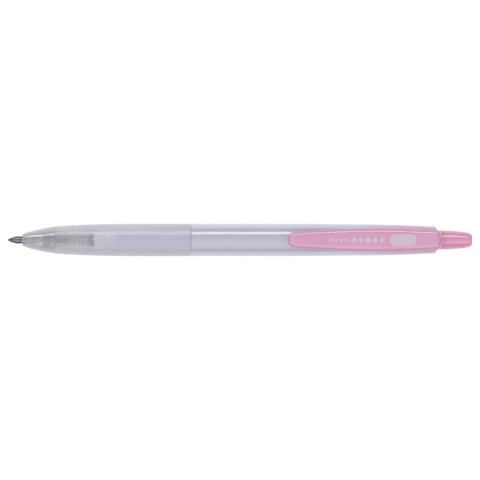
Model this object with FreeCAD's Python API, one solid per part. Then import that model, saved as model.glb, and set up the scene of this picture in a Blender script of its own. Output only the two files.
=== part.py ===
import FreeCAD, Part
import math
import os

V = FreeCAD.Vector

# A retractable gel pen, in millimetres. X runs along the pen from the point (-X) to the button (+X).
# The pen lies on Z = 0 with its clip up. Every piece is modelled about the X axis and lifted at the end.
LENGTH = 144.0                      # point out, from the ball to the end of the button
TIP_X = -LENGTH / 2
BUTTON_END_X = LENGTH / 2
BARREL_R = 5.02                     # the widest, at the joint of the two barrels
AXIS_Z = BARREL_R

# Front barrel and grip
MOUTH_X = -67.4
MOUTH_R = 1.88
GRIP_FRONT_X = -57.2
GRIP_FRONT_R = 4.21
GRIP_END_X = -15.1
GRIP_STRAIGHT_X = -35.0
GRIP_R = BARREL_R - 0.05            # a hair under the rear barrel
GRIP_END_ROUND = 0.5
SEAT_FRONT_R = 3.62                 # the front barrel under the grip
SEAT_R = 4.20
SEAT_STRAIGHT_X = -40.0
COLLAR_X = -14.95                   # the shoulder that meets the rear barrel
TIP_BORE_R = 1.28
TIP_BORE_END_X = -64.8
NOSE_BORE_R = 1.80
SPRING_LEDGE_X = -61.3
SPRING_BORE_R = 2.65
REFILL_BORE_X = -47.2
REFILL_BORE_R = 3.25
SPIGOT_END_X = -2.5
FIT_GAP = 0.02                      # between pieces that are pressed or stretched together

# Screw joint of the two barrels
PITCH = 1.5
THREAD_X = -14.0
THREAD_TURNS = 4
CORE_R = 3.65
CREST_R = 4.13
RIDGE_ROOT_WIDTH = 0.90
RIDGE_CREST_WIDTH = 0.35
THREAD_GAP = 0.15                   # radial
FLANK_GAP = 0.24                    # both flanks together, along the axis

# Rear barrel
REAR_X = -14.90
REAR_END_X = 60.9
REAR_END_R = 4.19
REAR_END_ROUND = 0.8
REAR_STRAIGHT_X = 20.0
REAR_BORE_R = 3.88
REAR_STEP_X = 54.2
REAR_TAIL_BORE_R = 3.60

# Refill
SHOULDER_X = -45.1                  # the holder's flange, where the spring pushes
FLANGE_R = 2.90
FLANGE_LENGTH = 0.6
HOLDER_R = 1.50
HOLDER_FRONT_X = -62.9
HOLDER_END_X = -41.6
TUBE_R = 3.00
TUBE_BORE_R = 2.30
TUBE_END_X = 38.5
INK_END_X = 22.0
FOLLOWER_END_X = 27.0
PLUG_FRONT_X = 34.5
CHANNEL_R = 0.70

# Point
BALL_R = 0.35
POINT_CONE_END_X = -69.1
POINT_R = 1.20
POINT_TAIL_R = 0.90
POINT_TAIL_X = -53.2
POINT_RING_X = -68.1

# Return spring
SPRING_R = 2.10                     # to the wire's middle
SPRING_WIRE_R = 0.20
SPRING_TURNS = 15

# Click mechanism
RIBS = 4
GUIDE_X = 45.5
GUIDE_STEP_X = 54.0
GUIDE_END_X = 60.9
GUIDE_BORE_R = 3.05
GROOVE_R = 3.45
GROOVE_WIDTH = 1.6
GROOVE_END_X = 53.9
RIB_R = 3.38
RIB_WIDTH = 1.2
ROTOR_X = 38.6
ROTOR_R = 2.60
ROTOR_SHOULDER_X = 43.6
ROTOR_RIB_X = 40.5
ROTOR_RIB_END_X = 44.5
STEM_R = 1.50
STEM_END_X = 51.5
PUSHER_X = 44.7
PUSHER_R = 2.95
PUSHER_BORE_R = 1.60
PUSHER_STEP_X = 50.0
PUSHER_END_X = 55.0
PUSHER_RIB_X = 46.6
PUSHER_RIB_END_X = 48.4
TOOTH_HEIGHT = 1.0

# Button
BUTTON_R = 2.96
BUTTON_FRONT_X = 50.1
BUTTON_STRAIGHT_X = 62.2
BUTTON_BORE_R = 2.30

# Clip
CLIP_THICK = 1.5
CLIP_SHOULDER_R = 1.2
CLIP_FRONT_X = 14.9
CLIP_CORNER_R = 1.0                 # of the free end, seen from above
CLIP_FRONT_HALF_WIDTH = 2.75        # before the free end's taper
CLIP_ROOT_HALF_WIDTH = 2.97
CLIP_SWELL = 0.72
CLIP_STATIONS = 14
CLIP_ROOT_X = 60.4
FOOT_X = 61.0
FOOT_END_X = 62.5
FOOT_ROUND = 3.7                    # of its rear face, seen from above
FOOT_HALF_WIDTH = 2.95
FOOT_LOW_Z = 3.05
CLIP_ROOT_TOP_Z = 7.2
BUMP_X = 20.1
BUMP_R = 0.9
BUMP_HALF_LENGTH = 0.7
BUMP_GAP = 0.12
BARREL_R_AT_BUMP = 5.02


def lathe(outline):
    """A solid turned about the X axis. The outline is (x, r) corners in order. A list among them is
    a run of points that a smooth curve passes through."""
    edges = []
    first = outline[0][0] if isinstance(outline[0], list) else outline[0]
    last = None
    for item in outline + [first]:
        run = item if isinstance(item, list) else [item]
        points = [V(x, 0, r) for x, r in run]
        if last is not None and last.distanceToPoint(points[0]) > 1e-6:
            edges.append(Part.LineSegment(last, points[0]).toShape())
        if len(points) > 1:
            curve = Part.BSplineCurve()
            curve.interpolate(points)
            edges.append(curve.toShape())
        last = points[-1]
    return Part.Face(Part.Wire(edges)).revolve(V(0, 0, 0), V(1, 0, 0), 360)


def tube(x0, x1, outer, inner=0.0):
    """A cylinder or a tube along the X axis."""
    solid = Part.makeCylinder(outer, x1 - x0, V(x0, 0, 0), V(1, 0, 0))
    if inner:
        solid = solid.cut(Part.makeCylinder(inner, x1 - x0, V(x0, 0, 0), V(1, 0, 0)))
    return solid


def around(shape, count, turn=0.0):
    """Copies of a shape spaced evenly about the X axis."""
    copies = []
    for i in range(count):
        copy = shape.copy()
        copy.rotate(V(0, 0, 0), V(1, 0, 0), turn + 360.0 * i / count)
        copies.append(copy)
    return copies


def radial_bar(x0, x1, r0, r1, width, drop=0.0):
    """A rib that stands out from the axis towards +Z, its top rounded to the radius r1. Its +X end
    slopes back by drop across its width."""
    corners = [
        V(x0, -width / 2, r0),
        V(x1 - drop, -width / 2, r0),
        V(x1, width / 2, r0),
        V(x0, width / 2, r0),
    ]
    prism = Part.Face(Part.makePolygon(corners + [corners[0]])).extrude(V(0, 0, r1 - r0 + 1))
    return prism.common(tube(x0, x1, r1))


def radial_wedge(x_low, x_high, half_width, r0, r1):
    """A sloped cutter: its end rises from x_low to x_high across its width, and it reaches r0 to r1."""
    corners = [
        V(x_low - 3, -half_width, r0),
        V(x_low - 3, half_width, r0),
        V(x_high, half_width, r0),
        V(x_low, -half_width, r0),
    ]
    return Part.Face(Part.makePolygon(corners + [corners[0]])).extrude(V(0, 0, r1 - r0))


def helical_ridge(x0, turns, r_low, r_high, low_width, high_width):
    """A trapezoid swept along a right-handed helix about the X axis."""
    helix = Part.makeHelix(PITCH, PITCH * turns, r_low)
    corners = [
        V(r_low, 0, -low_width / 2),
        V(r_high, 0, -high_width / 2),
        V(r_high, 0, high_width / 2),
        V(r_low, 0, low_width / 2),
    ]
    section = Part.makePolygon(corners + [corners[0]])
    ridge = Part.Wire(helix.Edges).makePipeShell([section], True, True)
    ridge.rotate(V(0, 0, 0), V(0, 1, 0), 90)
    ridge.translate(V(x0, 0, 0))
    return ridge


def ridge_width(r):
    """The male thread's width at a radius, its flanks being straight."""
    slope = (RIDGE_ROOT_WIDTH - RIDGE_CREST_WIDTH) / (CREST_R - CORE_R)
    return RIDGE_ROOT_WIDTH - slope * (r - CORE_R)


def front_barrel():
    """The clear shell from the mouth to the threaded spigot, with the spring's ledge inside."""
    body = lathe([
        (MOUTH_X, TIP_BORE_R),
        [(MOUTH_X, MOUTH_R), (-65.7, 2.52), (-62.0, 3.42), (-59.5, 3.87), (GRIP_FRONT_X, GRIP_FRONT_R)],
        (GRIP_FRONT_X, SEAT_FRONT_R),
        (SEAT_STRAIGHT_X, SEAT_R),
        (COLLAR_X, SEAT_R),
        (COLLAR_X, CORE_R),
        (SPIGOT_END_X - 0.4, CORE_R),
        (SPIGOT_END_X, CORE_R - 0.3),
        (SPIGOT_END_X, REFILL_BORE_R),
        (REFILL_BORE_X + 0.6, REFILL_BORE_R),
        (REFILL_BORE_X, SPRING_BORE_R),
        (SPRING_LEDGE_X, SPRING_BORE_R),
        (SPRING_LEDGE_X, NOSE_BORE_R),
        (TIP_BORE_END_X + 0.5, NOSE_BORE_R),
        (TIP_BORE_END_X, TIP_BORE_R),
    ])
    embedded = CORE_R - 0.15
    ridge = helical_ridge(
        THREAD_X, THREAD_TURNS, embedded, CREST_R, ridge_width(embedded), RIDGE_CREST_WIDTH
    )
    return body.fuse(ridge)


def grip_sleeve():
    """The soft sleeve stretched over the front barrel, flush with its nose."""
    return lathe([
        (GRIP_FRONT_X + FIT_GAP, SEAT_FRONT_R + FIT_GAP),
        (GRIP_FRONT_X + FIT_GAP, GRIP_FRONT_R),
        (-52.1, 4.54),
        (-44.7, 4.86),
        (GRIP_STRAIGHT_X, GRIP_R),
        (GRIP_END_X - GRIP_END_ROUND, GRIP_R),
        (GRIP_END_X - 0.29 * GRIP_END_ROUND, GRIP_R - 0.15),
        (GRIP_END_X, GRIP_R - GRIP_END_ROUND),
        (GRIP_END_X, SEAT_R + FIT_GAP),
        (SEAT_STRAIGHT_X, SEAT_R + FIT_GAP),
    ])


def rear_barrel():
    """The clear shell that holds the click mechanism, with the female thread at its front."""
    body = lathe([
        (REAR_X, REAR_BORE_R + 0.1),
        (REAR_X, BARREL_R - 0.2),
        (REAR_X + 0.2, BARREL_R),
        (REAR_STRAIGHT_X, BARREL_R),
        (31.0, 4.91),
        (43.4, 4.77),
        (52.1, 4.495),
        (REAR_END_X - REAR_END_ROUND, REAR_END_R),
        (REAR_END_X - 0.25, 3.98),
        (REAR_END_X, REAR_TAIL_BORE_R + 0.05),
        (REAR_END_X, REAR_TAIL_BORE_R),
        (REAR_STEP_X, REAR_TAIL_BORE_R),
        (REAR_STEP_X, REAR_BORE_R),
        (REAR_X + 0.1, REAR_BORE_R),
    ])
    embedded = REAR_BORE_R - 0.2
    groove_r = CREST_R + THREAD_GAP
    groove = helical_ridge(
        THREAD_X - PITCH,
        THREAD_TURNS + 2,
        embedded,
        groove_r,
        ridge_width(embedded) + FLANK_GAP,
        ridge_width(groove_r) + FLANK_GAP,
    )
    return body.cut(groove)


def writing_ball():
    return Part.makeSphere(BALL_R, V(TIP_X + BALL_R, 0, 0))


def tip_point():
    """The turned steel point: a slightly convex cone, a shaft with a fine ring, and a tail."""
    rim_x = TIP_X + 0.2
    body = lathe([
        (rim_x, 0),
        (rim_x, 0.40),
        [(rim_x, 0.40), (-70.9, 0.78), (-70.0, 1.02), (POINT_CONE_END_X, POINT_R)],
        (POINT_RING_X - 0.12, POINT_R),
        (POINT_RING_X, POINT_R - 0.12),
        (POINT_RING_X + 0.12, POINT_R),
        (HOLDER_FRONT_X - FIT_GAP, POINT_R),
        (HOLDER_FRONT_X - FIT_GAP, POINT_TAIL_R),
        (POINT_TAIL_X, POINT_TAIL_R),
        (POINT_TAIL_X, 0),
    ])
    socket = Part.makeSphere(BALL_R + 0.01, V(TIP_X + BALL_R, 0, 0))
    channel = tube(TIP_X + BALL_R, POINT_TAIL_X, 0.25)
    return body.cut(socket.fuse(channel))


def tip_holder():
    """The clear holder: a slim nose for the point, the spring's flange and a plug for the tube."""
    tail_bore = POINT_TAIL_R + FIT_GAP
    plug_r = TUBE_BORE_R - FIT_GAP
    flange_end = SHOULDER_X + FLANGE_LENGTH
    return lathe([
        (HOLDER_FRONT_X, tail_bore),
        (HOLDER_FRONT_X, HOLDER_R - 0.15),
        (HOLDER_FRONT_X + 0.3, HOLDER_R),
        (SHOULDER_X - 2.2, HOLDER_R),
        (SHOULDER_X - 1.6, HOLDER_R + 0.2),
        (SHOULDER_X, HOLDER_R + 0.2),
        (SHOULDER_X, FLANGE_R),
        (flange_end, FLANGE_R),
        (flange_end, plug_r),
        (HOLDER_END_X - 0.3, plug_r),
        (HOLDER_END_X, plug_r - 0.3),
        (HOLDER_END_X, CHANNEL_R),
        (POINT_TAIL_X + FIT_GAP, CHANNEL_R),
        (POINT_TAIL_X + FIT_GAP, tail_bore),
    ])


def ink_tube():
    return tube(SHOULDER_X + FLANGE_LENGTH + FIT_GAP, TUBE_END_X, TUBE_R, TUBE_BORE_R)


def ink_gel():
    """The column of ink in the tube and in the holder's channel."""
    column = tube(HOLDER_END_X + FIT_GAP, INK_END_X, TUBE_BORE_R - FIT_GAP)
    channel = tube(POINT_TAIL_X + 2 * FIT_GAP, HOLDER_END_X + 1, CHANNEL_R - FIT_GAP)
    return column.fuse(channel).removeSplitter()


def ink_follower():
    """The clear grease behind the ink, hollowed at its back."""
    r = TUBE_BORE_R - FIT_GAP
    return lathe([
        (INK_END_X + FIT_GAP, 0),
        (INK_END_X + FIT_GAP, r),
        (FOLLOWER_END_X, r),
        [(FOLLOWER_END_X, r), (FOLLOWER_END_X - 0.8, r * 0.6), (FOLLOWER_END_X - 1.1, 0)],
    ])


def refill_plug():
    """The vented plug that closes the tube's tail."""
    return tube(PLUG_FRONT_X, TUBE_END_X, TUBE_BORE_R - FIT_GAP, 0.8)


def return_spring():
    """The wire coil between the nose's ledge and the holder's flange."""
    x0 = SPRING_LEDGE_X + SPRING_WIRE_R + 0.05
    x1 = SHOULDER_X - SPRING_WIRE_R - 0.05
    helix = Part.makeHelix((x1 - x0) / SPRING_TURNS, x1 - x0, SPRING_R)
    section = Part.Wire(Part.makeCircle(SPRING_WIRE_R, V(SPRING_R, 0, 0), V(0, 1, 0)))
    wire = Part.Wire(helix.Edges).makePipeShell([section], True, True)
    wire.rotate(V(0, 0, 0), V(0, 1, 0), 90)
    wire.translate(V(x0, 0, 0))
    return wire


def rotor_cam():
    """The cam that the spring and the crown turn: slanted ribs and a stem in the crown."""
    body = tube(ROTOR_X, ROTOR_SHOULDER_X, ROTOR_R).fuse(tube(ROTOR_SHOULDER_X, STEM_END_X, STEM_R))
    rib = radial_bar(ROTOR_RIB_X, ROTOR_RIB_END_X, ROTOR_R - 0.3, RIB_R, RIB_WIDTH, TOOTH_HEIGHT)
    return body.multiFuse(around(rib, RIBS)).removeSplitter()


def cam_pusher():
    """The crown at the button's front: teeth that turn the rotor and splines that keep it straight."""
    body = tube(PUSHER_X, PUSHER_STEP_X, PUSHER_R, PUSHER_BORE_R)
    tail = tube(PUSHER_STEP_X, PUSHER_END_X, BUTTON_BORE_R - FIT_GAP, PUSHER_BORE_R)
    rib = radial_bar(PUSHER_RIB_X, PUSHER_RIB_END_X, PUSHER_R - 0.3, RIB_R, RIB_WIDTH)
    teeth = 2 * RIBS
    half = PUSHER_R * math.sin(math.pi / teeth)
    notch = radial_wedge(PUSHER_X, PUSHER_X + TOOTH_HEIGHT, half, 0, PUSHER_R + 1)
    body = body.cut(notch.multiFuse(around(notch, teeth, 0.0)[1:]))
    return body.fuse(tail).multiFuse(around(rib, RIBS)).removeSplitter()


def cam_guide():
    """The sleeve in the barrel's rear end: sawtooth front, grooves for the ribs, bore for the button."""
    guide = tube(GUIDE_X, GUIDE_STEP_X, REAR_BORE_R - FIT_GAP, GUIDE_BORE_R)
    tail = tube(GUIDE_STEP_X, GUIDE_END_X, REAR_TAIL_BORE_R - FIT_GAP, BUTTON_R + 0.07)
    groove = radial_bar(GUIDE_X - 1, GROOVE_END_X, GUIDE_BORE_R - 0.5, GROOVE_R, GROOVE_WIDTH)
    tooth = radial_wedge(GUIDE_X, GUIDE_X + 1.3 * TOOTH_HEIGHT, 1.9, GUIDE_BORE_R - 1, REAR_BORE_R + 1)
    cutters = around(groove, RIBS) + around(tooth, RIBS, 180.0 / RIBS)
    return guide.fuse(tail).cut(cutters[0].multiFuse(cutters[1:]))


def knock_button():
    """The hollow button: straight where it slides, slimmer and rounded at its end."""
    return lathe([
        (BUTTON_FRONT_X, BUTTON_BORE_R),
        (BUTTON_FRONT_X, BUTTON_R),
        (BUTTON_STRAIGHT_X, BUTTON_R),
        [(BUTTON_STRAIGHT_X, BUTTON_R), (65.5, 2.87), (68.4, 2.63), (70.9, 2.30)],
        [(70.9, 2.30), (71.68, 1.88), (BUTTON_END_X, 1.05)],
        (BUTTON_END_X, 0),
        (70.2, 0),
        (70.2, 0.45),
        (70.8, 0.5),
        (70.8, 1.1),
        (70.0, 1.85),
        (66.0, BUTTON_BORE_R),
    ])


def clip_section(x, half_width, low_z):
    """The clip's section at x: flat below, upright sides and rounded shoulders."""
    top_z = low_z + CLIP_THICK
    r = min(CLIP_SHOULDER_R, half_width * 0.6)
    side = half_width - r
    diagonal = r * math.sqrt(0.5)
    low_left = V(x, -half_width, low_z)
    low_right = V(x, half_width, low_z)
    right = V(x, half_width, top_z - r)
    right_mid = V(x, side + diagonal, top_z - r + diagonal)
    right_top = V(x, side, top_z)
    left_top = V(x, -side, top_z)
    left_mid = V(x, -side - diagonal, top_z - r + diagonal)
    left = V(x, -half_width, top_z - r)
    edges = [
        Part.LineSegment(low_left, low_right).toShape(),
        Part.LineSegment(low_right, right).toShape(),
        Part.Arc(right, right_mid, right_top).toShape(),
        Part.LineSegment(right_top, left_top).toShape(),
        Part.Arc(left_top, left_mid, left).toShape(),
        Part.LineSegment(left, low_left).toShape(),
    ]
    return Part.Wire(edges)


def clip_half_width(x):
    """Half the clip's width: widest past its middle, tapered at its free end."""
    u = (x - CLIP_FRONT_X) / (CLIP_ROOT_X - CLIP_FRONT_X)
    ends = CLIP_FRONT_HALF_WIDTH * (1 - u) + CLIP_ROOT_HALF_WIDTH * u
    swell = CLIP_SWELL * math.sin(math.pi * u ** 1.3)
    taper = 1 - 0.27 * math.exp((CLIP_FRONT_X - x) / 2.2)
    return (ends + swell) * taper


def clip_low_z(x):
    """The height of the clip's underside over the axis: bowed up a little, and turned up at the tip."""
    u = (x - CLIP_FRONT_X) / (CLIP_ROOT_X - CLIP_FRONT_X)
    bow = 0.24 * math.sin(math.pi * u)
    turn_up = 0.22 * math.exp((CLIP_FRONT_X - x) / 1.5)
    return CLIP_ROOT_TOP_Z - CLIP_THICK + bow + turn_up


def clip():
    """The clip: a crowned arm, a bump that grips, and a foot that bridges the barrel's end."""
    sections = []
    for i in range(CLIP_STATIONS + 1):
        x = CLIP_FRONT_X + (CLIP_ROOT_X - CLIP_FRONT_X) * (i / CLIP_STATIONS) ** 1.6
        sections.append(clip_section(x, clip_half_width(x), clip_low_z(x)))
    arm = Part.makeLoft(sections, True, False)
    bump_z = BARREL_R_AT_BUMP + BUMP_GAP + BUMP_R
    bump = tube(-BUMP_HALF_LENGTH, BUMP_HALF_LENGTH, BUMP_R)
    for end in (-BUMP_HALF_LENGTH, BUMP_HALF_LENGTH):
        bump = bump.fuse(Part.makeSphere(BUMP_R, V(end, 0, 0)))
    bump.translate(V(BUMP_X, 0, bump_z))
    return arm.cut(clip_corners()).fuse(bump).fuse(clip_foot())


def clip_corners():
    """What is cut away to round the free end's corners."""
    r = CLIP_CORNER_R
    middle_y = clip_half_width(CLIP_FRONT_X) - r
    block = Part.makeBox(r, r + 0.3, 4, V(CLIP_FRONT_X, middle_y, CLIP_ROOT_TOP_Z - 2))
    block = block.cut(Part.makeCylinder(r, 4, V(CLIP_FRONT_X + r, middle_y, CLIP_ROOT_TOP_Z - 2)))
    return block.fuse(block.mirror(V(0, 0, 0), V(0, 1, 0)))


def clip_foot():
    """The bridge behind the barrel's end, notched for the button, with a rounded outer corner."""
    low_z = CLIP_ROOT_TOP_Z - CLIP_THICK
    bend = FOOT_END_X - CLIP_ROOT_X - 0.6
    centre = V(FOOT_END_X - bend, 0, CLIP_ROOT_TOP_Z - bend)
    diagonal = bend * math.sqrt(0.5)
    corners = [
        V(FOOT_END_X - bend, 0, CLIP_ROOT_TOP_Z),
        V(CLIP_ROOT_X - 0.01, 0, CLIP_ROOT_TOP_Z),
        V(CLIP_ROOT_X - 0.01, 0, low_z),
        V(FOOT_X, 0, low_z - 0.6),
        V(FOOT_X, 0, FOOT_LOW_Z),
        V(FOOT_END_X, 0, FOOT_LOW_Z),
        V(FOOT_END_X, 0, CLIP_ROOT_TOP_Z - bend),
    ]
    edges = [Part.LineSegment(a, b).toShape() for a, b in zip(corners, corners[1:])]
    middle = V(centre.x + diagonal, 0, centre.z + diagonal)
    edges.append(Part.Arc(corners[-1], middle, corners[0]).toShape())
    side = Part.Face(Part.Wire(edges))
    side.translate(V(0, -FOOT_HALF_WIDTH, 0))
    foot = side.extrude(V(0, 2 * FOOT_HALF_WIDTH, 0))
    top = [e for e in foot.Edges if on_top_side(e, low_z)]
    foot = foot.makeFillet(CLIP_SHOULDER_R * 0.9, top)
    rear = Part.makeCylinder(FOOT_ROUND, 2 * CLIP_ROOT_TOP_Z, V(FOOT_END_X - FOOT_ROUND, 0, 0))
    return foot.common(rear).cut(tube(FOOT_X - 1, FOOT_END_X + 1, BUTTON_R + 0.12))


def on_top_side(edge, low_z):
    """Whether an edge of the foot runs along its outer side, in the clip's own plane."""
    box = edge.BoundBox
    flat = box.YLength < 1e-6
    return flat and box.ZMin > FOOT_LOW_Z + 0.01 and box.ZMax > low_z + 0.1 and box.XMax > CLIP_ROOT_X + 0.5


NODES = {
    "front_barrel": front_barrel,
    "grip_sleeve": grip_sleeve,
    "rear_barrel": rear_barrel,
    "cam_guide": cam_guide,
    "clip": clip,
    "writing_ball": writing_ball,
    "tip_point": tip_point,
    "tip_holder": tip_holder,
    "return_spring": return_spring,
    "ink_tube": ink_tube,
    "ink_gel": ink_gel,
    "ink_follower": ink_follower,
    "refill_plug": refill_plug,
    "rotor_cam": rotor_cam,
    "cam_pusher": cam_pusher,
    "knock_button": knock_button,
}

os.makedirs("parts", exist_ok=True)
for name, make in NODES.items():
    shape = make()
    shape.translate(V(0, 0, AXIS_Z))
    shape.exportStep("parts/" + name + ".step")
    box = shape.BoundBox
    print(name, len(shape.Solids), shape.isValid(), round(shape.Volume, 2), "mm3",
          [round(v, 2) for v in (box.XMin, box.XMax, box.YMin, box.YMax, box.ZMin, box.ZMax)])
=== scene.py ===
import math

import bmesh
import bpy
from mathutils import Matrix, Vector

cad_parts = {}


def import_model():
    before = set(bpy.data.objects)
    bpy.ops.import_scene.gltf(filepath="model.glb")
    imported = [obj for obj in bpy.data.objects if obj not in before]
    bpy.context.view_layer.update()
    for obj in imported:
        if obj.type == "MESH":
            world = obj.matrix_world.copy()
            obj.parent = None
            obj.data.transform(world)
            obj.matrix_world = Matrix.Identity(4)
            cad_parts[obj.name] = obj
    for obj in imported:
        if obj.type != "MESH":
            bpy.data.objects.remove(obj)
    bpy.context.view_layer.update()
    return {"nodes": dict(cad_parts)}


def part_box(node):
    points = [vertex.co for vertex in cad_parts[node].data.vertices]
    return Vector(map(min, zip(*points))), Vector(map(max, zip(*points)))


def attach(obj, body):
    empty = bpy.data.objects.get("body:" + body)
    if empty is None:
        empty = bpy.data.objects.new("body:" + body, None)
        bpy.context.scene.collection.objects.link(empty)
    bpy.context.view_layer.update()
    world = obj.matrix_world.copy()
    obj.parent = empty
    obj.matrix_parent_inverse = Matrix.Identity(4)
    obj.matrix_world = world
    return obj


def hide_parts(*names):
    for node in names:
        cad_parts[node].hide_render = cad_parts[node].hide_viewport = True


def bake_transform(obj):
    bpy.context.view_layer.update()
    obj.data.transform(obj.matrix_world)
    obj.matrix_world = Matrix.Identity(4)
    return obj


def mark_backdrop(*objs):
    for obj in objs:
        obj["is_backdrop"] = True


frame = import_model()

# A retractable gel pen, lying along X with its clip up. Lengths are millimetres about the pen's own
# axis until at() places them in the frame.
MM = 0.001


def ends(node):
    """Where a CAD node starts and ends along the pen."""
    low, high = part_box(node)
    return low.x / MM, high.x / MM


def reach(node):
    """A turned CAD node's largest radius."""
    low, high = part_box(node)
    return (high.y - low.y) / 2 / MM


BARREL_R = reach("rear_barrel")
AXIS_Z = BARREL_R
MOUTH_X, SPIGOT_END_X = ends("front_barrel")
GRIP_X, GRIP_END_X = ends("grip_sleeve")
REAR_X, REAR_END_X = ends("rear_barrel")
CLIP_X, CLIP_END_X = ends("clip")
BALL_X = ends("writing_ball")[0]
POINT_TAIL_X = ends("tip_point")[1]
HOLDER_X, HOLDER_END_X = ends("tip_holder")
SPRING_X, SPRING_END_X = ends("return_spring")
TUBE_X, TUBE_END_X = ends("ink_tube")
INK_X, INK_END_X = ends("ink_gel")
FOLLOWER_X, FOLLOWER_END_X = ends("ink_follower")
PLUG_X, PLUG_END_X = ends("refill_plug")
BUTTON_X, BUTTON_END_X = ends("knock_button")

SEGMENTS = 128                  # around a turned piece
COIL_STEPS = 40                 # for each turn of a coil
FILLET = 0.10                   # on a moulded or turned edge
GAP = 0.02                      # between pieces that fit together
LEAST = 0.001                   # what a section narrows to at its tip


# ---- Mesh helpers ------------------------------------------------------------------------------

def at(x, y, z):
    """A point in the frame, from millimetres about the pen's axis."""
    return Vector((x, y, z + AXIS_Z)) * MM


def skin(name, rings, loop=False):
    """A closed mesh over rings of points, each with the same count. Its ends are capped, or the last
    ring meets the first."""
    bm = bmesh.new()
    rows = [[bm.verts.new(at(*p)) for p in ring] for ring in rings]
    following = rows[1:] + rows[:1] if loop else rows[1:]
    for row, after in zip(rows, following):
        for i in range(len(row)):
            j = (i + 1) % len(row)
            bm.faces.new((row[i], row[j], after[j], after[i]))
    if not loop:
        bm.faces.new(rows[0])
        bm.faces.new(rows[-1])
    bmesh.ops.remove_doubles(bm, verts=bm.verts, dist=1e-4 * MM)
    bmesh.ops.recalc_face_normals(bm, faces=bm.faces)
    mesh = bpy.data.meshes.new(name)
    bm.to_mesh(mesh)
    bm.free()
    mesh.shade_smooth()
    piece = bpy.data.objects.new(name, mesh)
    bpy.context.scene.collection.objects.link(piece)
    return piece


def joined(piece, *others):
    """One object from several meshes."""
    bm = bmesh.new()
    for one in (piece, *others):
        bm.from_mesh(one.data)
    bm.to_mesh(piece.data)
    bm.free()
    piece.data.shade_smooth()
    for one in others:
        bpy.data.objects.remove(one)
    return piece


def crisp(piece, degrees=40):
    """Keeps edges sharper than the angle crisp in the shading."""
    piece.data.set_sharp_from_angle(angle=math.radians(degrees))
    return piece


def smooth_run(points, steps=8):
    """A Catmull-Rom curve through the points."""
    padded = [points[0]] + points + [points[-1]]
    run = []
    for a, b, c, d in zip(padded, padded[1:], padded[2:], padded[3:]):
        for k in range(steps):
            t = k / steps
            run.append(tuple(
                0.5 * (2 * q + (r - p) * t + (2 * p - 5 * q + 4 * r - s) * t ** 2
                       + (3 * q - p - 3 * r + s) * t ** 3)
                for p, q, r, s in zip(a, b, c, d)
            ))
    return run + [points[-1]]


def softened(points, fillet):
    """A closed outline with each corner rounded, and a point held close beside each round."""
    least_turn = math.radians(12)
    most_of_side = 0.45
    steps = 4
    out = []
    count = len(points)
    for i, here in enumerate(points):
        p = Vector(here)
        before = Vector(points[i - 1]) - p
        after = Vector(points[(i + 1) % count]) - p
        on_axis = here[1] < 1e-6
        if on_axis or before.length < 1e-6 or after.length < 1e-6:
            out.append(here)
            continue
        turn = math.pi - before.angle(after)
        if turn < least_turn:
            out.append(here)
            continue
        room = most_of_side * min(before.length, after.length)
        cut = min(fillet * math.tan(turn / 2), room)
        a = p + before.normalized() * cut
        b = p + after.normalized() * cut
        hold = 0.15 * cut
        out.append(tuple(a + before.normalized() * hold))
        for k in range(steps + 1):
            t = k / steps
            out.append(tuple(a * (1 - t) ** 2 + p * 2 * t * (1 - t) + b * t ** 2))
        out.append(tuple(b + after.normalized() * hold))
    return out


def lathe(name, outline, fillet=FILLET):
    """A closed solid turned about the pen's axis. The outline is (x, r) corners in order, and a list
    among them is a smooth run."""
    points = []
    for item in outline:
        run = smooth_run(item) if isinstance(item, list) else [item]
        points += [p for p in run if not points or p != points[-1]]
    section = softened(points, fillet)
    rings = []
    for i in range(SEGMENTS):
        angle = 2 * math.pi * i / SEGMENTS
        rings.append([(x, r * math.sin(angle), r * math.cos(angle)) for x, r in section])
    return skin(name, rings, loop=True)


def coil(name, first, last, x_of_turn, section):
    """A profile led round the axis, from the first turn to the last. x_of_turn gives the coil's place
    along the pen, and section the profile's (x, r) points about it."""
    rings = []
    count = (last - first) * COIL_STEPS
    for i in range(count + 1):
        t = first + (last - first) * i / count
        angle = 2 * math.pi * t
        x0 = x_of_turn(t)
        rings.append([
            (x0 + x, r * math.sin(angle), r * math.cos(angle)) for x, r in section(t)
        ])
    return skin(name, rings)


def ease(t):
    """0 to 1 with a soft start and end."""
    t = min(max(t, 0.0), 1.0)
    return t * t * (3 - 2 * t)


# ---- Materials ---------------------------------------------------------------------------------

def srgb(r, g, b):
    """A colour given as it looks, for a shader."""
    return tuple(((c / 255 + 0.055) / 1.055) ** 2.4 for c in (r, g, b)) + (1.0,)


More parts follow.
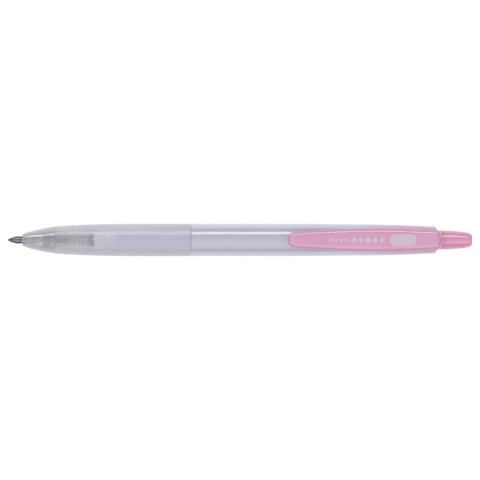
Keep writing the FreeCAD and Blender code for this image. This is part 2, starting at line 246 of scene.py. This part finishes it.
class Shader:
    """One material's nodes. Lengths are millimetres in the frame."""

    def __init__(self, name, **sockets):
        self.material = bpy.data.materials.new(name)
        self.material.use_nodes = True
        self.nodes = self.material.node_tree.nodes
        self.links = self.material.node_tree.links
        self.bsdf = self.nodes["Principled BSDF"]
        self.place = self.nodes.new("ShaderNodeTexCoord").outputs["Object"]
        for key, value in sockets.items():
            self.bsdf.inputs[key.replace("_", " ")].default_value = value

    def feed(self, socket, output):
        self.links.new(output, self.bsdf.inputs[socket])

    def noise(self, size, stretch=(1, 1, 1), detail=3.0):
        """Soft noise with features about size across, drawn out along an axis by stretch."""
        mapping = self.nodes.new("ShaderNodeMapping")
        mapping.inputs["Scale"].default_value = [1 / (size * MM * s) for s in stretch]
        self.links.new(self.place, mapping.inputs["Vector"])
        noise = self.nodes.new("ShaderNodeTexNoise")
        noise.inputs["Scale"].default_value = 1.0
        noise.inputs["Detail"].default_value = detail
        self.links.new(mapping.outputs["Vector"], noise.inputs["Vector"])
        return noise.outputs["Fac"]

    def rings(self, radian):
        """Fine turned rings about the pen's axis. One radian of their wave is as long as given."""
        radians_per_unit = 20
        wave = self.nodes.new("ShaderNodeTexWave")
        wave.wave_type = "BANDS"
        wave.bands_direction = "X"
        wave.inputs["Scale"].default_value = 1 / (radian * MM) / radians_per_unit
        wave.inputs["Distortion"].default_value = 1.2
        wave.inputs["Detail"].default_value = 2.0
        self.links.new(self.place, wave.inputs["Vector"])
        return wave.outputs["Fac"]

    def ramp(self, value, low, high, start=0.3, end=0.7):
        """The value, carried from start..end to low..high."""
        node = self.nodes.new("ShaderNodeMapRange")
        node.inputs["From Min"].default_value = start
        node.inputs["From Max"].default_value = end
        node.inputs["To Min"].default_value = low
        node.inputs["To Max"].default_value = high
        self.links.new(value, node.inputs["Value"])
        return node.outputs["Result"]

    def tint(self, factor, first, second):
        """A colour between two, by the factor."""
        mix = self.nodes.new("ShaderNodeMix")
        mix.data_type = "RGBA"
        self.links.new(factor, mix.inputs["Factor"])
        for socket, colour in (("A", first), ("B", second)):
            target = [s for s in mix.inputs if s.name == socket and s.type == "RGBA"][0]
            if isinstance(colour, tuple):
                target.default_value = colour
            else:
                self.links.new(colour, target)
        return [s for s in mix.outputs if s.type == "RGBA"][0]

    def veil(self, facing, grazing, turned=0.75):
        """How much a translucent wall hides: more where it is looked through slantwise, and the most
        from the share of turning away that is given."""
        weight = self.nodes.new("ShaderNodeLayerWeight")
        weight.inputs["Blend"].default_value = 0.5
        self.feed("Alpha", self.ramp(weight.outputs["Facing"], facing, grazing, start=0.05, end=turned))

    def along(self, start, end):
        """0 to 1 along the pen, from start to end."""
        separate = self.nodes.new("ShaderNodeSeparateXYZ")
        self.links.new(self.place, separate.inputs["Vector"])
        node = self.nodes.new("ShaderNodeMapRange")
        node.interpolation_type = "SMOOTHSTEP"
        node.inputs["From Min"].default_value = start * MM
        node.inputs["From Max"].default_value = end * MM
        self.links.new(separate.outputs["X"], node.inputs["Value"])
        return node.outputs["Result"]

    def bump(self, height, depth):
        """Relief of the depth."""
        node = self.nodes.new("ShaderNodeBump")
        node.inputs["Distance"].default_value = depth * MM
        self.links.new(height, node.inputs["Height"])
        return node.outputs["Normal"]


def plastic(name, first, second, grain, depth, rough, veil=None, drift=None, **sockets):
    """A moulded plastic: soft clouds of two tints, drawn out along the pen, flow marks in its gloss,
    and a fine grain of the given size and depth. It may drift to a third tint along the pen."""
    cloud_size = 6.0
    flow_size = 1.6
    shader = Shader(name, **sockets)
    clouds = shader.ramp(shader.noise(cloud_size, stretch=(3, 1, 1)), 0, 1)
    base = shader.tint(clouds, first, second)
    if drift:
        start, end, third = drift
        base = shader.tint(shader.along(start, end), base, third)
    shader.feed("Base Color", base)
    flow = shader.noise(flow_size, stretch=(6, 1, 1), detail=4.0)
    shader.feed("Roughness", shader.ramp(flow, *rough))
    shader.feed("Normal", shader.bump(shader.noise(grain, detail=2.0), depth))
    if veil:
        shader.veil(*veil)
    return shader.material


def metal(name, first, second, radian, rough):
    """A drawn or turned metal: soft clouds of two tints, and fine rings in its gloss and relief."""
    cloud_size = 1.2
    relief = 0.0015
    shader = Shader(name, Metallic=1.0)
    rings = shader.rings(radian)
    clouds = shader.ramp(shader.noise(cloud_size), 0, 1)
    shader.feed("Base Color", shader.tint(clouds, first, second))
    shader.feed("Roughness", shader.ramp(rings, *rough, start=0, end=1))
    shader.feed("Normal", shader.bump(rings, relief))
    return shader.material


CLEAR_SHELL = plastic(
    "clear shell", srgb(148, 149, 158), srgb(153, 154, 162), grain=0.5, depth=0.0003,
    rough=(0.06, 0.08), veil=(0.48, 0.90), IOR=1.5, Specular_IOR_Level=1.0, Coat_Weight=0.8,
)
# Towards its rear end the shell's colour drifts to pink. This is a painted pink glow: it stands in for
# light that the pink clip and guide sleeve scatter into the milky wall.
REAR_SHELL = plastic(
    "rear shell", srgb(166, 167, 182), srgb(170, 171, 185), grain=0.5, depth=0.0006,
    rough=(0.05, 0.09), veil=(0.60, 0.95, 0.45), drift=(34, 51, srgb(170, 140, 159)),
    IOR=1.5, Specular_IOR_Level=1.0, Coat_Weight=0.2,
)
FROSTED = plastic(
    "frosted grip", srgb(164, 165, 176), srgb(168, 169, 180), grain=0.09, depth=0.003,
    rough=(0.25, 0.28), veil=(0.36, 0.90), IOR=1.45, Specular_IOR_Level=0.9,
)
PINK = plastic(
    "pink plastic", srgb(177, 121, 155), srgb(181, 126, 159), grain=0.5, depth=0.0006,
    rough=(0.06, 0.09), veil=(0.84, 0.97), IOR=1.5, Specular_IOR_Level=0.8, Coat_Weight=0.6,
)
BUTTON_PINK = plastic(
    "button plastic", srgb(194, 128, 160), srgb(198, 134, 164), grain=0.5, depth=0.0006,
    rough=(0.05, 0.08), veil=(0.72, 0.97), IOR=1.5, Specular_IOR_Level=0.8,
)
INNER_WALL = plastic(
    "inner wall", srgb(218, 219, 226), srgb(224, 224, 231), grain=0.5, depth=0.0006,
    rough=(0.10, 0.16), veil=(0.04, 0.35), IOR=1.45,
)
CLEAR_POLYMER = plastic(
    "clear polymer", srgb(224, 228, 236), srgb(228, 231, 238), grain=0.4, depth=0.0008,
    rough=(0.22, 0.32), veil=(0.10, 0.4), IOR=1.45,
)
WHITE_PLASTIC = plastic(
    "white plastic", srgb(222, 222, 226), srgb(232, 231, 232), grain=0.3, depth=0.001,
    rough=(0.32, 0.42),
)
INK = plastic(
    "violet ink", srgb(180, 168, 206), srgb(186, 175, 212), grain=0.8, depth=0.002,
    rough=(0.08, 0.16), drift=(-37.0, -41.5, srgb(206, 209, 218)),
)
GREASE = plastic(
    "clear grease", srgb(222, 220, 208), srgb(230, 228, 220), grain=0.8, depth=0.002,
    rough=(0.10, 0.18), Alpha=0.55,
)
PRINT = plastic(
    "pale print", srgb(166, 147, 162), srgb(170, 151, 166), grain=0.12, depth=0.002,
    rough=(0.38, 0.48),
)
STEEL = metal(
    "stainless steel", srgb(106, 106, 107), srgb(94, 95, 97), radian=0.08, rough=(0.10, 0.18),
)
CARBIDE = metal(
    "carbide ball", srgb(120, 121, 125), srgb(130, 131, 135), radian=0.05, rough=(0.10, 0.16),
)
SPRING_STEEL = metal(
    "spring wire", srgb(90, 106, 120), srgb(102, 117, 131), radian=0.11, rough=(0.55, 0.65),
)


def finished(piece, body, material, slot, *replaced):
    """Gives a piece its material, the body it rides and the CAD nodes it stands for."""
    piece.data.materials.append(material)
    if body:
        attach(piece, body)
    if replaced:
        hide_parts(*replaced)
    return piece


def lined(piece, start, end, outer_r):
    """Leaves only the shell's outside, between two stations and beyond a radius, to its own material:
    its bore and what is covered take the clearer inner wall."""
    least_outward = 0.02
    mesh = piece.data
    mesh.materials.append(INNER_WALL)
    for face in mesh.polygons:
        x, y, z = face.center / MM
        outward = Vector((0, y, z - AXIS_Z)).dot(face.normal) > least_outward
        outside = math.hypot(y, z - AXIS_Z) > outer_r
        face.material_index = 0 if outward and outside and start < x < end else 1
    return piece


# ---- Front: nose shell, grip, spring -----------------------------------------------------------

COLLAR_X = -14.95               # the shoulder that meets the rear barrel
SEAT_FRONT_R = 3.62             # the shell under the grip
SEAT_R = 4.20
SEAT_STRAIGHT_X = -40.0
GRIP_FRONT_R = 4.21
LEDGE_X = -61.3                 # where the spring stands
SHOULDER_X = -45.1              # where the spring pushes on the refill
CORE_R = 3.65                   # the male thread's core
CREST_R = 4.13
THREAD_X = -14.0                # where the thread starts
THREAD_TURNS = 4
PITCH = 1.5                     # of the thread


def nose_shell():
    """The clear front shell: the glossy nose, the seat under the grip and the threaded spigot."""
    mouth_r = 1.28
    point_bore_r = 1.80
    spring_bore_r = 2.65
    rear_bore_r = 3.25
    lead_in = 0.4
    shell = lathe("nose_shell", [
        (MOUTH_X, mouth_r),
        [(MOUTH_X, 1.88), (-65.7, 2.52), (-62.0, 3.42), (-59.5, 3.87), (GRIP_X - GAP, GRIP_FRONT_R)],
        (GRIP_X - GAP, SEAT_FRONT_R),
        (SEAT_STRAIGHT_X, SEAT_R),
        (COLLAR_X, SEAT_R),
        (COLLAR_X, CORE_R),
        (SPIGOT_END_X - lead_in, CORE_R),
        (SPIGOT_END_X, CORE_R - 0.3),
        (SPIGOT_END_X, rear_bore_r),
        (-46.6, rear_bore_r),
        (-47.2, spring_bore_r),
        (LEDGE_X, spring_bore_r),
        (LEDGE_X, point_bore_r),
        (-64.3, point_bore_r),
        (-64.8, mouth_r),
    ])

    def section(t):
        """The thread's ridge, which grows and fades over a quarter turn at its ends."""
        root_half, crest_half = 0.45, 0.17
        root_r = CORE_R - 0.1
        sunk_r = CORE_R - 0.05
        grown = ease(4 * t) * ease(4 * (THREAD_TURNS - t))
        crest = sunk_r + (CREST_R - sunk_r) * grown
        return [(-root_half, root_r), (-crest_half, crest), (crest_half, crest), (root_half, root_r)]

    ridge = crisp(coil("thread", 0, THREAD_TURNS, lambda t: THREAD_X + PITCH * t, section))
    return joined(shell, ridge)


def grip():
    """The matte sleeve, flush with the nose, its rear edge rounded over beside the rear barrel's."""
    end_round = 0.3
    end = GRIP_END_X + 0.15     # up to the rear barrel
    return lathe("grip", [
        (GRIP_X, SEAT_FRONT_R + GAP),
        [(GRIP_X, GRIP_FRONT_R), (-52.1, 4.54), (-44.7, 4.86), (-35.0, BARREL_R)],
        [
            (end - end_round, BARREL_R),
            (end - 0.6 * end_round, BARREL_R - 0.04),
            (end - 0.25 * end_round, BARREL_R - 0.12),
            (end, BARREL_R - end_round),
        ],
        (end, SEAT_R + GAP),
        (SEAT_STRAIGHT_X, SEAT_R + GAP),
    ], fillet=0.05)


def spring():
    """The return spring in two halves: closed turns at the ends, open ones between that widen towards
    the rear. Gives the halves and where along the pen they meet."""
    wire_r = 0.16
    wire_sides = 14
    middle_r = 1.96
    front_closed = 6
    rear_closed = 5
    open_turns = 16
    closed_pitch = 0.36
    turns = front_closed + open_turns + rear_closed
    start = SPRING_X + wire_r
    end = SPRING_END_X - wire_r
    open_pitch = (end - start - closed_pitch * (front_closed + rear_closed)) / open_turns
    widening = 0.14

    def x_of_turn(t):
        x = start + closed_pitch * min(t, front_closed)
        opened = min(max(t - front_closed, 0), open_turns)
        x += open_pitch * opened * (1 - widening + widening * opened / open_turns)
        return x + closed_pitch * max(t - front_closed - open_turns, 0)

    angles = [2 * math.pi * k / wire_sides for k in range(wire_sides)]
    wire = [(wire_r * math.cos(a), middle_r + wire_r * math.sin(a)) for a in angles]
    halfway = front_closed + open_turns // 2
    return (
        coil("spring_front", 0, halfway, x_of_turn, lambda t: wire),
        coil("spring_rear", halfway, turns, x_of_turn, lambda t: wire),
        x_of_turn(halfway),
    )


lined(finished(nose_shell(), "front", CLEAR_SHELL, "clear_shell", "front_barrel"), MOUTH_X, GRIP_X, 1.5)
lined(finished(grip(), "front", FROSTED, "frosted_grip", "grip_sleeve"), GRIP_X, GRIP_END_X, 4.0)
# The spring's halves meet at a place fixed to the barrel.
spring_front, spring_rear, spring_middle_x = spring()
finished(spring_front, None, SPRING_STEEL, "spring_wire", "return_spring")
finished(spring_rear, None, SPRING_STEEL, "spring_wire")
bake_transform(spring_front)
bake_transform(spring_rear)


# ---- Refill ------------------------------------------------------------------------------------

TUBE_R = reach("ink_tube")
TUBE_BORE_R = 2.30
CHANNEL_R = 0.70
BALL_R = reach("writing_ball")
POINT_R = 1.20
POINT_TAIL_R = 0.90
RING_X = -68.1                  # the groove round the point's shaft


def ball():
    """The writing ball."""
    middle = BALL_X + BALL_R
    steps = 24
    half = [
        (middle - BALL_R * math.cos(math.pi * k / steps), BALL_R * math.sin(math.pi * k / steps))
        for k in range(steps + 1)
    ]
    half[0] = (BALL_X, 0)
    half[-1] = (BALL_X + 2 * BALL_R, 0)
    return lathe("ball", half)


def point():
    """The steel point: the cone crimped over the ball, the shaft with its groove, and the tail."""
    rim_x = BALL_X + 0.2
    groove_r = POINT_R - 0.12
    return lathe("point", [
        (rim_x + 0.25, 0),
        (rim_x, 0.30),
        (rim_x, 0.36),
        [(rim_x, 0.36), (-71.2, 0.60), (-70.4, 0.90), (-69.5, 1.15), (-69.1, POINT_R)],
        (RING_X - 0.12, POINT_R),
        (RING_X - 0.05, groove_r),
        (RING_X + 0.05, groove_r),
        (RING_X + 0.12, POINT_R),
        (HOLDER_X - GAP, POINT_R),
        (HOLDER_X - GAP, POINT_TAIL_R),
        (POINT_TAIL_X, POINT_TAIL_R),
        (POINT_TAIL_X, 0),
    ], fillet=0.04)


def holder():
    """The clear holder between the point and the tube, with the spring's flange."""
    holder_r = 1.50
    collar_r = holder_r + 0.2
    flange_r = 2.90
    flange_end = TUBE_X - GAP
    plug_r = TUBE_BORE_R - GAP
    return lathe("holder", [
        (HOLDER_X, POINT_TAIL_R + GAP),
        (HOLDER_X, holder_r - 0.15),
        (HOLDER_X + 0.3, holder_r),
        (SHOULDER_X - 2.2, holder_r),
        (SHOULDER_X - 1.6, collar_r),
        (SHOULDER_X, collar_r),
        (SHOULDER_X, flange_r),
        (flange_end, flange_r),
        (flange_end, plug_r),
        (HOLDER_END_X - 0.3, plug_r),
        (HOLDER_END_X, plug_r - 0.3),
        (HOLDER_END_X, CHANNEL_R),
        (POINT_TAIL_X + GAP, CHANNEL_R),
        (POINT_TAIL_X + GAP, POINT_TAIL_R + GAP),
    ])


def tube():
    """The ink tube."""
    return lathe("tube", [
        (TUBE_X, TUBE_BORE_R), (TUBE_X, TUBE_R), (TUBE_END_X, TUBE_R), (TUBE_END_X, TUBE_BORE_R),
    ])


def ink():
    """The ink in the tube and in the holder's channel."""
    r = TUBE_BORE_R - GAP
    return lathe("ink", [
        (INK_X, 0),
        (INK_X, CHANNEL_R - GAP),
        (HOLDER_END_X + GAP, CHANNEL_R - GAP),
        (HOLDER_END_X + GAP, r),
        (INK_END_X, r),
        (INK_END_X, 0),
    ], fillet=0.05)


def follower():
    """The grease that follows the ink, its back drawn up at the wall."""
    r = TUBE_BORE_R - GAP
    hollow = 1.1
    return lathe("follower", [
        (FOLLOWER_X, 0),
        (FOLLOWER_X, r),
        (FOLLOWER_END_X, r),
        [(FOLLOWER_END_X, r), (FOLLOWER_END_X - 0.8, r * 0.6), (FOLLOWER_END_X - hollow, 0)],
    ], fillet=0.03)


def tail_plug():
    """The vented plug in the tube's tail."""
    r = TUBE_BORE_R - GAP
    vent_r = 0.8
    return lathe("tail_plug", [(PLUG_X, vent_r), (PLUG_X, r), (PLUG_END_X, r), (PLUG_END_X, vent_r)])


finished(ball(), "refill", CARBIDE, "carbide_ball", "writing_ball")
finished(point(), "refill", STEEL, "stainless_steel", "tip_point")
finished(holder(), "refill", CLEAR_POLYMER, "clear_polymer", "tip_holder")
finished(tube(), "refill", CLEAR_POLYMER, "clear_polymer", "ink_tube")
finished(ink(), "refill", INK, "violet_ink", "ink_gel")
finished(follower(), "refill", GREASE, "clear_grease", "ink_follower")
finished(tail_plug(), "refill", WHITE_PLASTIC, "white_plastic", "refill_plug")


# ---- Rear: shell, button, click mechanism ------------------------------------------------------

REAR_BORE_R = 3.88
TAIL_BORE_R = 3.60
BUTTON_R = reach("knock_button")
BUTTON_BORE_R = 2.30


def rear_shell():
    """The clear rear shell, straight at its front and drawn in towards its rounded end."""
    chamfer = 0.1
    rounding = 0.8
    end_r = 4.19
    step_x = 54.2
    return lathe("rear_shell", [
        (REAR_X, REAR_BORE_R + chamfer),
        (REAR_X, BARREL_R - chamfer),
        (REAR_X + chamfer, BARREL_R),
        [(20.0, BARREL_R), (31.0, 4.91), (43.4, 4.77), (52.1, 4.495), (REAR_END_X - rounding, end_r)],
        [
            (REAR_END_X - rounding, end_r),
            (REAR_END_X - 0.45 * rounding, end_r - 0.12),
            (REAR_END_X - 0.12 * rounding, end_r - 0.36),
            (REAR_END_X, TAIL_BORE_R + 0.05),
        ],
        (REAR_END_X, TAIL_BORE_R),
        (step_x, TAIL_BORE_R),
        (step_x, REAR_BORE_R),
        (REAR_X + chamfer, REAR_BORE_R),
    ], fillet=0.06)


def button():
    """The hollow button, slimmer towards its domed end, with a recess inside the dome."""
    dome_x, dome_r = 70.6, 2.34
    return lathe("button", [
        (BUTTON_X, BUTTON_BORE_R),
        (BUTTON_X, BUTTON_R),
        [(62.2, BUTTON_R), (65.5, 2.87), (68.4, 2.63), (dome_x, dome_r)],
        [(dome_x, dome_r), (71.45, 2.02), (71.9, 1.55), (BUTTON_END_X, 1.0)],
        (BUTTON_END_X, 0),
        (70.2, 0),
        (70.2, 0.45),
        (70.8, 0.5),
        (70.8, 1.1),
        (70.0, 1.85),
        (66.0, BUTTON_BORE_R),
    ])


lined(finished(rear_shell(), "barrel", REAR_SHELL, "clear_shell", "rear_barrel"), REAR_X, REAR_END_X, 4.0)
finished(button(), "button", BUTTON_PINK, "pink_plastic", "knock_button")
for node, material in (("cam_guide", PINK), ("rotor_cam", WHITE_PLASTIC), ("cam_pusher", WHITE_PLASTIC)):
    frame["nodes"][node].data.materials.clear()
    frame["nodes"][node].data.materials.append(material)


# ---- Clip --------------------------------------------------------------------------------------

CLIP_THICK = 1.5
CLIP_ROOT_X = 60.4
CLIP_TOP_Z = 7.2                # of the arm's outer face, where it isn't bowed
FOOT_LOW_Z = 3.1                # where the foot ends
FOOT_HALF_WIDTH = 2.95
DOME_R = 3.7                    # of the foot's rear face, seen from above
SHOULDER_R = 1.5                # of the arm's long edges, in section
BEND_R = 1.95                   # where the arm bends over the barrel's end
CORNER_R = 1.5                  # of the free end, seen from above


def clip_half_width(x):
    """Half the clip's width: widest past its middle, tapered and rounded at its free end."""
    free_half, root_half = 2.75, 2.97
    swell = 0.72
    taper, taper_length = 0.27, 2.2
    u = (x - CLIP_X) / (CLIP_ROOT_X - CLIP_X)
    width = free_half * (1 - u) + root_half * u + swell * math.sin(math.pi * u ** 1.3)
    width *= 1 - taper * math.exp((CLIP_X - x) / taper_length)
    corner = max(CORNER_R - (x - CLIP_X), 0)
    return width - CORNER_R + math.sqrt(CORNER_R ** 2 - corner ** 2)


def clip_top_z(x):
    """The height of the clip's outer face over the axis: bowed up, and turned up at its free end."""
    bow = 0.24
    lift, lift_length = 0.22, 1.5
    u = (x - CLIP_X) / (CLIP_ROOT_X - CLIP_X)
    return CLIP_TOP_Z + bow * math.sin(math.pi * u) + lift * math.exp((CLIP_X - x) / lift_length)


def clip_ring(middle, outward, half_width, domed, inset):
    """One section of the clip. The middle of its outer face and the outward direction are (x, z).
    domed, 0 to 1, turns a flat face with round shoulders into the foot's round one."""
    edge = 0.22
    edge_steps = 4
    half_width -= inset
    outer = []
    count = 28
    for k in range(count + 1):
        y = -half_width * math.cos(math.pi * k / count)
        past = max(abs(y) - (half_width - SHOULDER_R), 0)
        shoulder = SHOULDER_R - math.sqrt(max(SHOULDER_R ** 2 - past ** 2, 0))
        dome = DOME_R - math.sqrt(DOME_R ** 2 - y ** 2)
        depth = shoulder * (1 - domed) + min(dome, CLIP_THICK - 2 * edge) * domed
        outer.append((y, min(depth, CLIP_THICK - 2 * edge) + inset))
    low = CLIP_THICK - inset
    inner = []
    for k in range(edge_steps + 1):
        a = math.pi / 2 * k / edge_steps
        inner.append((half_width - edge * (1 - math.cos(a)), low - edge * (1 - math.sin(a))))
    section = outer + inner + [(-y, depth) for y, depth in reversed(inner)]
    return [
        (middle[0] - outward[0] * depth, y, middle[1] - outward[1] * depth) for y, depth in section
    ]


def clip_arm():
    """The clip: a crowned arm, rounded at its free end, that bends over the barrel's end."""
    rings = []
    nose = 0.45
    nose_steps = 6
    for k in range(nose_steps + 1):
        t = nose * (1 - math.cos(math.pi / 2 * k / nose_steps))
        x = CLIP_X + t
        inset = nose - math.sqrt(nose ** 2 - (nose - t) ** 2)
        rings.append(clip_ring((x, clip_top_z(x)), (0, 1), clip_half_width(x), 0, 0.8 * inset))
    stations = 60
    for k in range(1, stations + 1):
        x = CLIP_X + nose + (CLIP_END_X - BEND_R - CLIP_X - nose) * (k / stations) ** 1.4
        rings.append(clip_ring((x, clip_top_z(x)), (0, 1), clip_half_width(x), 0, 0))
    bend_x = CLIP_END_X - BEND_R
    bend_z = clip_top_z(bend_x) - BEND_R
    bend_steps = 14
    for k in range(1, bend_steps + 1):
        a = math.pi / 2 * k / bend_steps
        outward = (math.sin(a), math.cos(a))
        middle = (bend_x + BEND_R * outward[0], bend_z + BEND_R * outward[1])
        rings.append(clip_ring(middle, outward, FOOT_HALF_WIDTH, ease(k / bend_steps), 0))
    foot_steps = 6
    foot_round = 0.2
    for k in range(1, foot_steps + 1):
        z = bend_z + (FOOT_LOW_Z + foot_round - bend_z) * k / foot_steps
        rings.append(clip_ring((CLIP_END_X, z), (1, 0), FOOT_HALF_WIDTH, 1, 0))
    round_steps = 4
    for k in range(1, round_steps + 1):
        a = math.pi / 2 * k / round_steps
        inset = foot_round * (1 - math.cos(a))
        z = FOOT_LOW_Z + foot_round * (1 - math.sin(a))
        rings.append(clip_ring((CLIP_END_X, z), (1, 0), FOOT_HALF_WIDTH, 1, inset))
    return skin("clip_arm", rings)


def clip_bump():
    """The bump under the free end that grips the cloth or paper."""
    bump_x = 20.1
    bump_r = 0.9
    half_length = 0.7
    clearance = 0.12
    middle_z = BARREL_R + clearance + bump_r
    steps = 12
    sides = 32
    profile = []
    for k in range(steps + 1):
        a = math.pi * k / steps
        side = -half_length if k <= steps // 2 else half_length
        profile.append((side - bump_r * math.cos(a), bump_r * math.sin(a)))
    angles = [2 * math.pi * k / sides for k in range(sides)]
    rings = []
    for x, r in profile:
        r = max(r, LEAST)
        rings.append([(bump_x + x, r * math.sin(a), middle_z + r * math.cos(a)) for a in angles])
    return skin("bump", rings)


finished(joined(clip_arm(), clip_bump()), "clip", PINK, "pink_plastic", "clip")


def printed(name, middle_x, half_length, half_width):
    """A rounded patch of print that follows the clip's outer face."""
    stand = 0.015
    shoulder = 0.6 * stand
    flat_share = 0.96
    steps = 24
    rings = []
    for k in range(steps + 1):
        a = math.pi * k / steps
        x = middle_x - half_length * math.cos(a)
        end = max(half_width - (half_length - abs(x - middle_x)), 0)
        y = math.sqrt(max(half_width ** 2 - end ** 2, 0)) + LEAST
        z = clip_top_z(x)
        flat_y = flat_share * y
        rings.append([
            (x, -y, z - stand), (x, -y, z + shoulder), (x, -flat_y, z + stand),
            (x, flat_y, z + stand), (x, y, z + shoulder), (x, y, z - stand),
        ])
    patch = skin(name, rings)
    return finished(crisp(patch), "clip", PRINT, "pink_plastic")


def dot_row(name, count, first_x, spacing, radius):
    """A row of round printed dots along the clip."""
    for i in range(count):
        printed(f"{name}_{i + 1}", first_x + spacing * i, radius, radius)


printed("print_pad", middle_x=50.2, half_length=4.2, half_width=1.85)
dot_row("print_small_dot", count=4, first_x=28.1, spacing=1.5, radius=0.5)
dot_row("print_dot", count=5, first_x=35.1, spacing=2.15, radius=0.8)


# ---- Floor, light, camera: lengths here are metres ---------------------------------------------

def floor():
    """A plain pale floor."""
    half = 3.0
    mesh = bpy.data.meshes.new("floor")
    mesh.from_pydata([(-half, -half, 0), (half, -half, 0), (half, half, 0), (-half, half, 0)], [],
                     [(0, 1, 2, 3)])
    piece = bpy.data.objects.new("floor", mesh)
    bpy.context.scene.collection.objects.link(piece)
    shader = Shader("floor paper", Emission_Color=(1, 1, 1, 1), Emission_Strength=0.50)
    shader.feed("Base Color", shader.tint(shader.noise(40), srgb(186, 186, 187), srgb(190, 190, 190)))
    shader.feed("Roughness", shader.ramp(shader.noise(2), 0.8, 0.9))
    mesh.materials.append(shader.material)
    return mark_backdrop(piece)


def world():
    """Soft studio surroundings by direction: a wide overhead glow that fades to a dark horizon,
    stronger on the side away from the strip."""
    sky = bpy.data.worlds.new("studio")
    sky.use_nodes = True
    nodes, links = sky.node_tree.nodes, sky.node_tree.links
    separate = nodes.new("ShaderNodeSeparateXYZ")
    links.new(nodes.new("ShaderNodeTexCoord").outputs["Generated"], separate.inputs["Vector"])

    def graded(output, low, high, at_low, at_high):
        node = nodes.new("ShaderNodeMapRange")
        node.interpolation_type = "SMOOTHSTEP"
        node.inputs["From Min"].default_value = low
        node.inputs["From Max"].default_value = high
        node.inputs["To Min"].default_value = at_low
        node.inputs["To Max"].default_value = at_high
        links.new(output, node.inputs["Value"])
        return node.outputs["Result"]

    def product(a, b):
        node = nodes.new("ShaderNodeMath")
        node.operation = "MULTIPLY"
        links.new(a, node.inputs[0])
        links.new(b, node.inputs[1])
        return node.outputs["Value"]

    overhead = graded(separate.outputs["Z"], low=0.15, high=0.95, at_low=0.14, at_high=1.38)
    side = graded(separate.outputs["Y"], low=-1.0, high=1.0, at_low=2.28, at_high=0.0)
    background = nodes["Background"]
    background.inputs["Color"].default_value = (1, 1, 1, 1)
    links.new(product(overhead, side), background.inputs["Strength"])
    bpy.context.scene.world = sky


def strip_light():
    """A long soft strip beside the pen, 50 degrees off the vertical and set towards its point."""
    distance = 0.45
    angle = math.radians(50)
    light = bpy.data.lights.new("strip", "AREA")
    light.shape = "RECTANGLE"
    light.size = 0.75
    light.size_y = 0.15
    light.energy = 2.15
    lamp = bpy.data.objects.new("strip", light)
    lamp.location = (-0.10, distance * math.sin(angle), distance * math.cos(angle) + AXIS_Z * MM)
    lamp.rotation_euler = (-angle, 0, 0)
    bpy.context.scene.collection.objects.link(lamp)


def camera():
    """A long lens, straight above the pen."""
    frame_width = 0.14885       # what the picture takes in, at the pen's axis
    lens = bpy.data.cameras.new("camera")
    lens.sensor_width = 36.0
    lens.lens = 200.0
    lens.clip_start = 0.01
    eye = bpy.data.objects.new("camera", lens)
    eye.location = (0, 0, AXIS_Z * MM + frame_width * lens.lens / lens.sensor_width)
    bpy.context.scene.collection.objects.link(eye)
    bpy.context.scene.camera = eye


floor()
world()
strip_light()
camera()
bpy.context.scene.view_settings.view_transform = "Standard"
# Enough to look through every shell, the refill and the mechanism.
bpy.context.scene.cycles.transparent_max_bounces = 32
